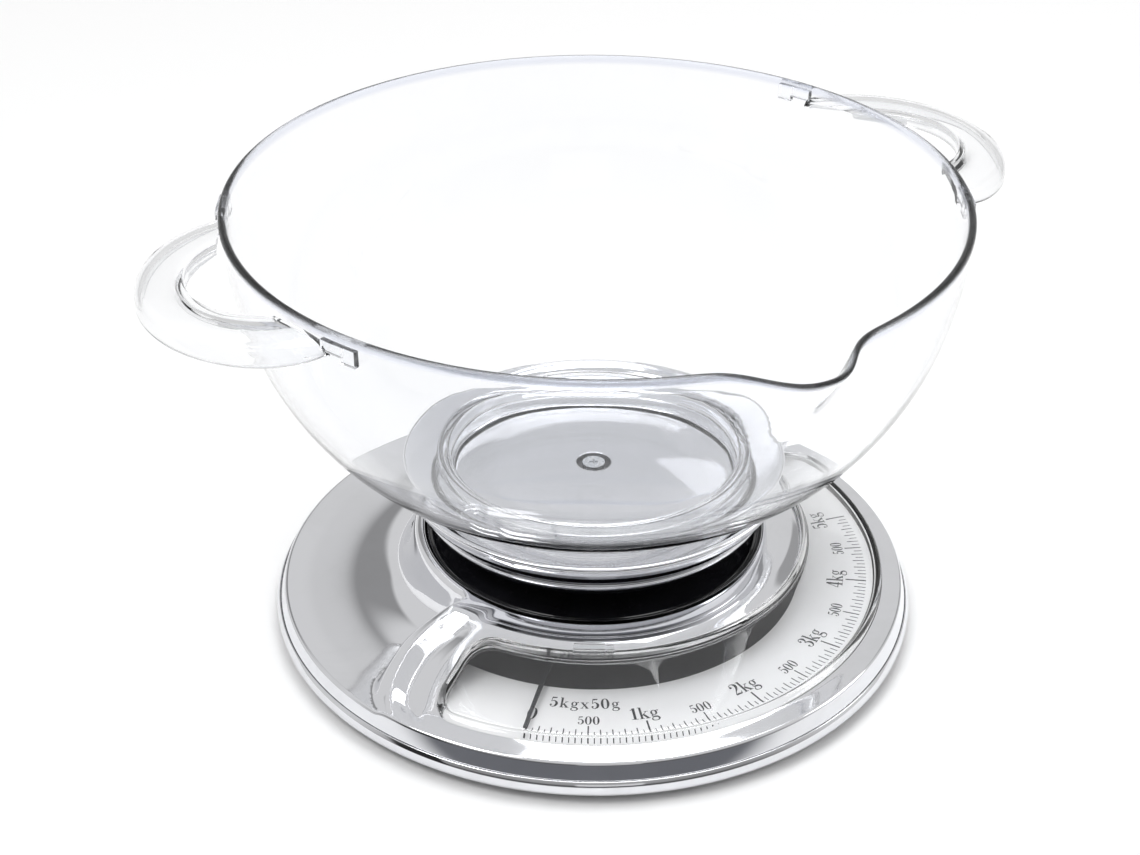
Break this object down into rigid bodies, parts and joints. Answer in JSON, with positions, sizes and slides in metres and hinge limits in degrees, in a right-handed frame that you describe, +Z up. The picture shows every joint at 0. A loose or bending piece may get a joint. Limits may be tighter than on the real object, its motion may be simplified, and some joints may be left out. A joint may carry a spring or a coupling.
{
  "type": "kitchen scale",
  "caption": "Mechanical kitchen scale: round polished chrome base with a crescent dial and rotating pointer under a clear window, and a clear mixing bowl with handles and a pouring lip.",
  "frame": {"origin": "on the table under the middle of the base, on the axis of the load rod", "axes": "+Z up along the load rod, -Y towards the user who reads the dial, +X to that user's right"},
  "size_m": [0.2912, 0.2558, 0.166],
  "materials": {
    "chrome": "polished",
    "clear_window": "clear, polished",
    "clear_bowl": "clear, polished",
    "dial_white": "printed matte",
    "black_gloss": "gloss",
    "black_matte": "matte",
    "steel": "brushed",
    "brass": "satin",
    "spring_steel": "drawn wire",
    "rubber": "matte",
    "zinc": "zinc plated"
  },
  "bodies": {
    "base": {"base_pan": "black_matte", "rim_roll": "chrome", "top_cover": "chrome", "window": "clear_window", "dial_plate": "dial_white", "dial_mask": "black_matte", "well_collar": "black_gloss", "chassis_plate": "steel", "bridge_posts": "steel", "bridge_plate": "steel", "bridge_screws": "zinc", "guide_bush": "brass", "shaft_bracket": "steel", "hub_clip": "steel", "cover_screws": "zinc", "feet": "rubber"},
    "zero_ring": {"zero_ring": "black_matte"},
    "load": {"platform_pan": "chrome", "platform_skirt": "chrome", "platform_hub": "black_matte", "load_rod": "steel", "rod_screw": "zinc", "main_spring": "spring_steel", "rack_carrier": "steel", "rack": "brass"},
    "shaft": {"pinion_shaft": "steel", "drive_pinion": "brass", "crown_pinion": "brass"},
    "pointer": {"pointer_hub": "black_matte", "crown_gear": "brass", "pointer": "black_matte"},
    "bowl": {"bowl": "clear_bowl"}
  },
  "joints": [
    {"name": "load_slide", "type": "slide", "parent": "base", "child": "load", "axis": [0, 0, -1], "range_m": [0, 0.00628], "stiffness_N_per_m": 7806.5, "springref_m": -0.00086, "deforming": ["main_spring"]},
    {"name": "pinion_turn", "type": "hinge", "parent": "base", "child": "shaft", "pos_m": [0, 0.03, 0.01648], "axis": [0, 1, 0], "range_deg": [-181, 0.5]},
    {"name": "pointer_turn", "type": "hinge", "parent": "base", "child": "pointer", "pos_m": [0, 0, 0.02273], "axis": [0, 0, 1], "range_deg": [-0.5, 120.5]},
    {"name": "zero_turn", "type": "hinge", "parent": "base", "child": "zero_ring", "pos_m": [0, 0, 0.02883], "axis": [0, 0, 1], "range_deg": [-180, 180]},
    {"name": "bowl_lift", "type": "slide", "parent": "load", "child": "bowl", "axis": [0, 0, 1], "range_m": [0, 0.12]}
  ],
  "couplings": [
    {"joint": "pinion_turn", "follows": "load_slide", "rad_per_m": -500},
    {"joint": "pointer_turn", "follows": "load_slide", "rad_per_m": 333.33}
  ]
}
